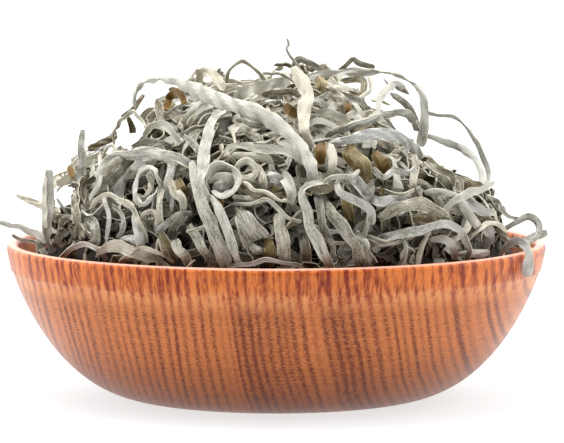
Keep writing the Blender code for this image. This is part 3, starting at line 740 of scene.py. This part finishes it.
def kelp_material(name, dark, pale, bloom, rough=0.85):
    """Dried kelp: a dark leathery blade under a patchy pale bloom, with cream edges and a darker underside. The bloom
    is raised toward the top and the sides as painted light, and the cream edges are partly a painted highlight.
    """
    material, tree, shader = new_material(name)
    strand = node(tree, "ShaderNodeAttribute", set_attribute_name="strand").outputs["Vector"]
    tone = node(tree, "ShaderNodeAttribute", set_attribute_name="tone").outputs["Vector"]
    under = node(tree, "ShaderNodeAttribute", set_attribute_name="under").outputs["Fac"]
    tone_parts = node(tree, "ShaderNodeSeparateXYZ", i0=tone).outputs
    patches = noise(tree, scaled(tree, strand, 110, 240, 1), 1.0, 3.0, 0.6)
    streaks = noise(tree, scaled(tree, strand, 190, 1300, 1), 1.0, 2.0, 0.6)
    specks = noise(tree, scaled(tree, strand, 1300, 1700, 1), 1.0, 2.0, 0.7)
    cover = math(tree, "MULTIPLY_ADD", patches, 0.9, math(tree, "MULTIPLY", streaks, 0.8))
    cover = math(tree, "MULTIPLY_ADD", specks, 0.8, cover)
    cover = math(tree, "MULTIPLY_ADD", tone_parts[0], 0.6, cover)
    cover = math(tree, "MULTIPLY_ADD", under, -0.25, cover)
    place = node(tree, "ShaderNodeSeparateXYZ", i0=node(tree, "ShaderNodeTexCoord").outputs["Object"]).outputs
    # Painted light: the pale cover grows toward the top and toward the sides, where the heap is lit brighter
    high = smooth(tree, place[2], 85 * MM, 145 * MM)
    aside = smooth(tree, math(tree, "ABSOLUTE", place[0]), 50 * MM, 105 * MM)
    painted_light_gain = math(tree, "MULTIPLY_ADD", tone_parts[0], 0.25, 0.12)
    cover = math(tree, "MULTIPLY_ADD", math(tree, "MAXIMUM", high, aside), painted_light_gain, cover)
    cover = smooth(tree, cover, 1.15 - bloom, 1.95 - bloom)
    own = node(tree, "ShaderNodeSeparateXYZ", i0=strand).outputs[2]
    own = node(tree, "ShaderNodeTexWhiteNoise", set_noise_dimensions="1D", W=own).outputs["Value"]
    cool = tuple(c * f for c, f in zip(pale, (0.96, 0.99, 1.03)))
    warm = tuple(c * f for c, f in zip(pale, (1.05, 1.01, 0.88)))
    edge = smooth(tree, tone_parts[2], 0.8, 1.0)
    brown = tuple(c * f for c, f in zip(dark, (1.35, 1.1, 0.75)))
    hue = blend(tree, smooth(tree, tone_parts[1], 0.7, 1.0), dark, brown)
    color = blend(tree, cover, hue, blend(tree, own, cool, warm))
    # Cream edges: partly the blade's own pale rim, partly a painted highlight along the edges
    cream = tuple(min(c * f, 1) for c, f in zip(pale, (1.34, 1.3, 1.17)))
    color = blend(tree, math(tree, "MULTIPLY", edge, 0.5), color, cream)
    tree.links.new(color, shader.inputs["Base Color"])
    shader.inputs["Roughness"].default_value = rough
    shader.inputs["Specular IOR Level"].default_value = 0.3
    height = math(tree, "MULTIPLY_ADD", streaks, 0.9, specks)
    bump = node(tree, "ShaderNodeBump", Strength=0.8, Distance=0.4 * MM, Height=height)
    tree.links.new(bump.outputs[0], shader.inputs["Normal"])
    return material


def core_material():
    material, tree, shader = new_material("kelp_core")
    place = node(tree, "ShaderNodeTexCoord").outputs["Object"]
    mottle = noise(tree, place, 160, 4.0, 0.6)
    height = node(tree, "ShaderNodeSeparateXYZ", i0=place).outputs[2]
    painted_top_light = smooth(tree, height, 90 * MM, 130 * MM)
    # Painted shade: near black low down for the shade deep between the strips; painted light makes it lighter toward
    # the top
    low = blend(tree, mottle, (0.012, 0.009, 0.006), (0.05, 0.042, 0.03))
    color = blend(tree, painted_top_light, low, (0.15, 0.135, 0.105))
    tree.links.new(color, shader.inputs["Base Color"])
    shader.inputs["Roughness"].default_value = 0.95
    return material


def wood_material():
    """Varnished wood: a turned blank's growth rings are tilted sheets, each a fuzzy dark line of short pores. Painted
    shade darkens the foot and the inner wall, and a painted highlight pales the rim's top edge.
    """
    material, tree, shader = new_material("varnished_wood")
    place = node(tree, "ShaderNodeTexCoord").outputs["Object"]
    z = node(tree, "ShaderNodeSeparateXYZ", i0=place).outputs[2]
    inner = node(tree, "ShaderNodeAttribute", set_attribute_name="inner").outputs["Fac"]
    ring = node(tree, "ShaderNodeVectorMath", set_operation="DOT_PRODUCT", i0=place, i1=RING_TILT).outputs["Value"]
    wave = noise(tree, scaled(tree, place, 16, 16, 9), 1.0, 2.0, 0.5)
    ring = math(tree, "MULTIPLY_ADD", wave, 0.008, ring)
    spread = line_noise(tree, ring, 52)
    part = math(tree, "FRACT", math(tree, "MULTIPLY_ADD", ring, 1 / RING_SPACING, math(tree, "MULTIPLY", spread, 1.6)))
    line = math(tree, "MULTIPLY", smooth(tree, part, 0.1, 0.5),
                math(tree, "SUBTRACT", 1.0, smooth(tree, part, 0.55, 0.9)))
    strength = smooth(tree, line_noise(tree, ring, 140), 0.3, 0.7)
    zone = smooth(tree, line_noise(tree, ring, 31), 0.45, 0.7)
    pores = smooth(tree, noise(tree, scaled(tree, place, 700, 700, 2300), 1.0, 2.0, 0.65), 0.4, 0.62)
    grain = noise(tree, scaled(tree, place, 900, 900, 60), 1.0, 3.0, 0.65)
    turned = noise(tree, scaled(tree, place, 25, 25, 1500), 1.0, 1.0, 0.5)
    dark = math(tree, "MULTIPLY", line, math(tree, "MULTIPLY_ADD", strength, 0.6, 0.25))
    dark = math(tree, "MULTIPLY_ADD", zone, 0.35, dark)
    dark = math(tree, "MULTIPLY", dark, math(tree, "MULTIPLY_ADD", pores, 0.6, 0.65))
    dark = math(tree, "MULTIPLY_ADD", pores, 0.3, dark)
    dark = math(tree, "MULTIPLY_ADD", math(tree, "SUBTRACT", grain, 0.5), 0.6, dark)
    dark = math(tree, "MULTIPLY_ADD", math(tree, "SUBTRACT", turned, 0.5), 0.4, dark)
    dark = node(tree, "ShaderNodeClamp", i0=dark).outputs[0]
    fine = noise(tree, scaled(tree, place, 800, 800, 14), 1.0, 4.0, 0.75)
    broad = noise(tree, scaled(tree, place, 190, 190, 9), 1.0, 2.0, 0.6)
    streak = math(tree, "MULTIPLY_ADD", fine, 0.6, math(tree, "MULTIPLY_ADD", line, 0.1, math(tree, "MULTIPLY", broad, 0.4)))
    streak = smooth(tree, streak, 0.44, 0.68)
    body = blend(tree, dark, (0.60, 0.185, 0.05), (0.15, 0.026, 0.008))
    lip = blend(tree, streak, (0.72, 0.195, 0.04), (0.22, 0.02, 0.006))
    band = blend(tree, streak, (0.80, 0.33, 0.12), (0.42, 0.085, 0.026))
    edge = math(tree, "MULTIPLY_ADD", streak, 3 * MM, z)
    under_lip = smooth(tree, edge, BODY_HEIGHT - 8 * MM, BODY_HEIGHT - 2 * MM)
    # Painted shade: the body darkens toward the foot, where less light falls
    shade = math(tree, "MULTIPLY", math(tree, "SUBTRACT", 1.0, smooth(tree, z, 0.0, 40 * MM)), 0.65)
    body = blend(tree, shade, body, (0.08, 0.012, 0.003))
    body = blend(tree, math(tree, "MULTIPLY", under_lip, 0.6), body, band)
    color = blend(tree, smooth(tree, edge, BODY_HEIGHT - 1 * MM, BODY_HEIGHT + 5 * MM), body, lip)
    # Painted highlight: a pale line along the rim's top edge
    painted_rim_highlight = smooth(tree, z, RIM_HEIGHT - 0.9 * MM, RIM_HEIGHT - 0.3 * MM)
    color = blend(tree, math(tree, "MULTIPLY", painted_rim_highlight, 0.6), color, (0.85, 0.52, 0.40))
    # Painted shade: the inner wall is darkened where the heap shades it
    color = blend(tree, math(tree, "MULTIPLY", inner, 0.7), color, (0.10, 0.03, 0.015))
    tree.links.new(color, shader.inputs["Base Color"])
    shader.inputs["Roughness"].default_value = 0.34
    shader.inputs["Specular IOR Level"].default_value = 0.26
    bump = node(tree, "ShaderNodeBump", Strength=0.1, Distance=0.15 * MM, Height=turned)
    tree.links.new(bump.outputs[0], shader.inputs["Normal"])
    return material


def line_noise(tree, value, scale):
    made = node(tree, "ShaderNodeTexNoise", set_noise_dimensions="1D", W=value, Scale=scale, Detail=1.0)
    return made.outputs[0]


# ---------------------------------------------------------------- pieces

def turned_bowl(material):
    """The bowl's own profile, turned finely, with a softly rounded lip and a slight crease under it."""
    half = WALL / 2
    arc = np.linspace(pi, 0, 13)
    rim = np.stack([RIM_RADIUS - half + half * np.cos(arc), RIM_HEIGHT - half + half * np.sin(arc)], axis=1)
    lip_foot = np.array([[BODY_RADIUS + LIP_STEP * 1.25, BODY_HEIGHT + LIP_STEP * 2.2],
                         [BODY_RADIUS + LIP_STEP, BODY_HEIGHT + LIP_STEP],
                         [BODY_RADIUS + LIP_STEP * 0.45, BODY_HEIGHT + LIP_STEP * 0.3]])
    inside = body_curve(WALL, 26)[::-1]
    outside = body_curve(0, 40)
    foot = np.array([[FOOT_RADIUS * share, 0] for share in (0.985, 0.6, 0.2)])
    profile = np.vstack([inside, rim, lip_foot, outside, foot])
    turns = np.linspace(0, 2 * pi, BOWL_STEPS, endpoint=False)
    around = np.stack([np.cos(turns), np.sin(turns)], axis=1)
    points = [[radius * c, radius * s, height] for radius, height in profile for c, s in around]
    rows = len(profile)
    faces = []
    for row in range(rows - 1):
        for i in range(BOWL_STEPS):
            j = (i + 1) % BOWL_STEPS
            low, high = row * BOWL_STEPS, (row + 1) * BOWL_STEPS
            faces.append([low + i, low + j, high + j, high + i][::-1])
    faces.append([i for i in range(BOWL_STEPS)])
    faces.append([(rows - 1) * BOWL_STEPS + i for i in range(BOWL_STEPS)][::-1])
    mesh = bpy.data.meshes.new("wood_bowl")
    mesh.from_pydata(points, [], faces)
    # Marks the inner face, which the wood's colour darkens as painted shade
    inner = np.repeat(np.arange(rows) < len(inside), BOWL_STEPS).astype(float)
    mesh.attributes.new("inner", "FLOAT", "POINT").data.foreach_set("value", inner)
    mesh.shade_smooth()
    mesh.materials.append(material)
    bowl = add_piece("wood_bowl", mesh)
    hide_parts("bowl")
    return bowl


def heap_core(material):
    """The dark packed middle of the heap, lumpy, that shows between the strips; its dark colour is painted shade,
    lighter toward the top as painted light.
    """
    turns = np.linspace(0, 2 * pi, 96, endpoint=False)
    rings = []
    for radius, height in body_curve(WALL + 1.5 * MM, 12)[::-1]:
        rings.append(np.stack([radius * np.cos(turns), radius * np.sin(turns), np.full(96, height)], axis=1))
    for climb in np.linspace(0.06, pi / 2 - 0.03, 34):
        directions = np.stack([cos(climb) * np.cos(turns), cos(climb) * np.sin(turns), np.full(96, sin(climb))], axis=1)
        lumps = np.sin(directions @ np.array([9, 31, 17])) + np.sin(directions @ np.array([-27, 14, 23]) + 1)
        fine = np.sin(directions @ np.array([71, -54, 88])) * np.sin(directions @ np.array([60, 83, -47]) + 2)
        rings.append(dome_points(directions, -CORE_DEPTH + 1.2 * MM * lumps + 1.3 * MM * fine))
    points = np.vstack(rings).tolist()
    faces = []
    for row in range(len(rings) - 1):
        for i in range(96):
            j = (i + 1) % 96
            faces.append([row * 96 + i, row * 96 + j, (row + 1) * 96 + j, (row + 1) * 96 + i])
    faces.append(list(range(96))[::-1])
    faces.append([(len(rings) - 1) * 96 + i for i in range(96)])
    mesh = bpy.data.meshes.new("heap_core")
    mesh.from_pydata(points, [], faces)
    mesh.shade_smooth()
    mesh.materials.append(material)
    core = add_piece("heap_core", mesh)
    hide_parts("kelp_heap")
    return core


def as_seen(points):
    """Sideways and height at which points show from the front, on the upright plane through the bowl's middle."""
    reach = EYE[1] / (EYE[1] - points[:, 1])
    return EYE[[0, 2]] + (points[:, [0, 2]] - EYE[[0, 2]]) * reach[:, None]


def clear_of(strips, named, reach, most):
    """Loose strips that hardly pass in front of a named one, as seen from the front."""
    marks = np.vstack([strip["path"][len(strip["path"]) // 7:-len(strip["path"]) // 7] for strip in named])
    seen_marks = as_seen(marks)
    kept = []
    for strip in strips:
        gap = as_seen(strip["path"])[:, None, :] - seen_marks[None, :, :]
        depth = strip["path"][:, None, 1] - marks[None, :, 1]
        nearer = (depth < -0.5 * MM) & (depth > -40 * MM)
        if np.count_nonzero(((np.hypot(gap[..., 0], gap[..., 1]) < reach) & nearer).any(axis=1)) <= most:
            kept.append(strip)
    return kept


def keep_open(strips, openings, nearest):
    """Strips with no point over the openings, as seen from the front; points further back than nearest may be."""
    openings = np.array(openings) * MM
    kept = []
    for strip in strips:
        gap = as_seen(strip["path"])[:, None, :] - openings[None, :, :2]
        over = (np.hypot(gap[..., 0], gap[..., 1]) < openings[:, 2]).any(axis=1)
        if not (over & (strip["path"][:, 1] < nearest)).any():
            kept.append(strip)
    return kept


def build_heap():
    dark, pale = (0.09, 0.078, 0.042), (0.58, 0.562, 0.51)
    kelp = kelp_material("dried_kelp", dark, pale, 0.05)
    # shaded_kelp is a darker copy of the kelp with little bloom: painted shade for the low deep strips and the carpet
    shaded = kelp_material("shaded_kelp", (0.06, 0.052, 0.034), (0.40, 0.38, 0.33), -0.25)
    thread = kelp_material("kelp_thread", (0.16, 0.135, 0.085), (0.74, 0.70, 0.60), 0.2)
    amber = kelp_material("amber_kelp", (0.13, 0.085, 0.022), (0.42, 0.36, 0.22), -0.22, rough=0.5)
    named = named_strips(SHOWN_STRIPS, shown_points) + named_strips(PLACED_STRIPS, room_points)
    pieces = named_strips(AMBER_PIECES, shown_points)
    rolls = rolled_strips(RNG, 16, (-4 * MM, 1 * MM))
    deep = walk_strips(RNG, 240, (0.07, 0.18), (3.5 * MM, 6 * MM), (-10 * MM, -7 * MM), (0.5 * MM, 2 * MM),
                       (15, 60), -4 * MM)
    middle = walk_strips(RNG, 270, (0.05, 0.17), (2.8 * MM, 5.2 * MM), (-6 * MM, -2 * MM), (1 * MM, 3 * MM),
                         (30, 95), 1 * MM)
    upper = walk_strips(RNG, 190, (0.04, 0.14), (2.6 * MM, 5 * MM), (-4 * MM, 0), (1 * MM, 3 * MM),
                        (45, 120), 1 * MM)
    curls = walk_strips(RNG, 340, (0.018, 0.05), (2 * MM, 4 * MM), (-5 * MM, 1 * MM), (1 * MM, 3 * MM),
                        (60, 160), 2 * MM)
    crown = walk_strips(RNG, 90, (0.03, 0.08), (2 * MM, 4.4 * MM), (1 * MM, 6 * MM), (2 * MM, 5 * MM),
                        (35, 90), 10 * MM, low=0.76)
    threads = walk_strips(RNG, 80, (0.03, 0.09), (0.8 * MM, 1.3 * MM), (-3 * MM, 3 * MM), (1 * MM, 3 * MM),
                          (40, 110), 4 * MM)
    flakes = walk_strips(RNG, 40, (0.008, 0.018), (3.5 * MM, 6.5 * MM), (-5 * MM, 0), (1 * MM, 2 * MM),
                         (20, 80), 2 * MM)
    bits = walk_strips(RNG, 16, (0.008, 0.018), (2.5 * MM, 4.5 * MM), (-3 * MM, 2 * MM), (1 * MM, 2 * MM),
                       (20, 60), 3 * MM)
    skirt = walk_strips(RNG, 200, (0.018, 0.06), (1.8 * MM, 4.2 * MM), (-8 * MM, -3 * MM), (0.5 * MM, 2 * MM),
                        (40, 140), -1 * MM, high=0.24)
    deep += skirt
    named += pieces
    middle, upper, rolls, curls = (clear_of(group, named, 2.6 * MM, 2) for group in (middle, upper, rolls, curls))
    crown, threads, flakes, bits = (clear_of(group, named, 2.6 * MM, 1) for group in (crown, threads, flakes, bits))
    settle(named + rolls + deep + middle + upper + curls + crown + threads + flakes + bits, 30, 2.0 * MM)
    named = named[:-len(pieces)]
    loose = (keep_open(group, DARK_PLACES, 0) for group in (rolls, middle, upper, curls, crown, threads, flakes))
    rolls, middle, upper, curls, crown, threads, flakes, deep = (
        keep_open(group, BRIGHT_PLACES, 1) for group in (*loose, deep))
    high = [strip for strip in deep if strip["path"][:, 2].mean() > SHADE_HEIGHT]
    low = [strip for strip in deep if strip["path"][:, 2].mean() <= SHADE_HEIGHT]
    carpet_rng = np.random.default_rng(11)
    carpet = walk_strips(carpet_rng, 620, (0.02, 0.05), (2.4 * MM, 5 * MM), (-10.2 * MM, -9.2 * MM), (0, 0.4 * MM),
                         (20, 60), -8 * MM)
    carpet = [strip for strip in carpet if dome_fields(strip["path"])[0].max() < -7 * MM]
    strip_mesh("carpet_strips", carpet, carpet_rng, shaded)
    sets = {"named_strips": (named + rolls, kelp), "deep_strips": (low, shaded), "high_deep_strips": (high, kelp),
            "middle_strips_a": (middle[::2], kelp), "middle_strips_b": (middle[1::2], kelp),
            "upper_strips": (upper, kelp), "crown_strips": (crown, kelp), "kelp_curls": (curls, kelp),
            "kelp_threads": (threads, thread), "kelp_flakes": (flakes, kelp),
            "amber_bits": (bits + pieces, amber)}
    for name, (strips, material) in sets.items():
        piece = strip_mesh(name, strips, RNG, material)
    heap_core(core_material())


# ---------------------------------------------------------------- floor, light and camera

def build_stage():
    material, tree, shader = new_material("floor")
    shader.inputs["Base Color"].default_value = (0.36, 0.38, 0.39, 1)
    shader.inputs["Roughness"].default_value = 0.6
    shader.inputs["Specular IOR Level"].default_value = 0.0
    shader.inputs["Emission Color"].default_value = (1, 1, 1, 1)
    shader.inputs["Emission Strength"].default_value = 0.72
    mesh = bpy.data.meshes.new("floor")
    mesh.from_pydata([(-4, -4, 0), (4, -4, 0), (4, 6, 0), (-4, 6, 0)], [], [(0, 1, 2, 3)])
    mesh.materials.append(material)
    floor = bpy.data.objects.new("floor", mesh)
    bpy.context.scene.collection.objects.link(floor)


def area_light(name, place, aim, size, power):
    light = bpy.data.lights.new(name, "AREA")
    light.shape = "RECTANGLE"
    light.size, light.size_y = size
    light.energy = power
    lamp = bpy.data.objects.new(name, light)
    bpy.context.scene.collection.objects.link(lamp)
    look_at(lamp, place, aim)


def look_at(item, place, aim):
    item.location = place
    item.rotation_euler = (Vector(aim) - Vector(place)).to_track_quat("-Z", "Y").to_euler()


def build_light():
    """A white studio, bright above and behind, dim in front, with one big soft lamp overhead."""
    world = bpy.data.worlds.new("studio")
    world.use_nodes = True
    tree = world.node_tree
    background = tree.nodes["Background"]
    direction = node(tree, "ShaderNodeTexCoord").outputs["Generated"]
    parts = node(tree, "ShaderNodeSeparateXYZ", i0=direction).outputs
    behind = smooth(tree, parts[1], -0.9, 0.0)
    glow = math(tree, "MULTIPLY_ADD", behind, 1.85, 0.05)
    seen = node(tree, "ShaderNodeLightPath").outputs["Is Camera Ray"]
    tree.links.new(math(tree, "MAXIMUM", glow, seen), background.inputs["Strength"])
    background.inputs["Color"].default_value = (1, 1, 1, 1)
    bpy.context.scene.world = world
    area_light("top", (-0.15, 0.05, 1.2), (0, 0, 0.08), (0.8, 0.7), 13)
    bpy.context.scene.view_settings.view_transform = "Standard"


def build_camera():
    """A long lens from the front, slightly above the rim."""
    data = bpy.data.cameras.new("camera")
    data.sensor_width = 36
    data.lens = 36 * np.linalg.norm(EYE - AIM) / FIELD
    camera = bpy.data.objects.new("camera", data)
    bpy.context.scene.collection.objects.link(camera)
    look_at(camera, EYE, AIM)
    bpy.context.scene.camera = camera


def main():
    build_camera()
    build_stage()
    build_light()
    turned_bowl(wood_material())
    build_heap()


main()
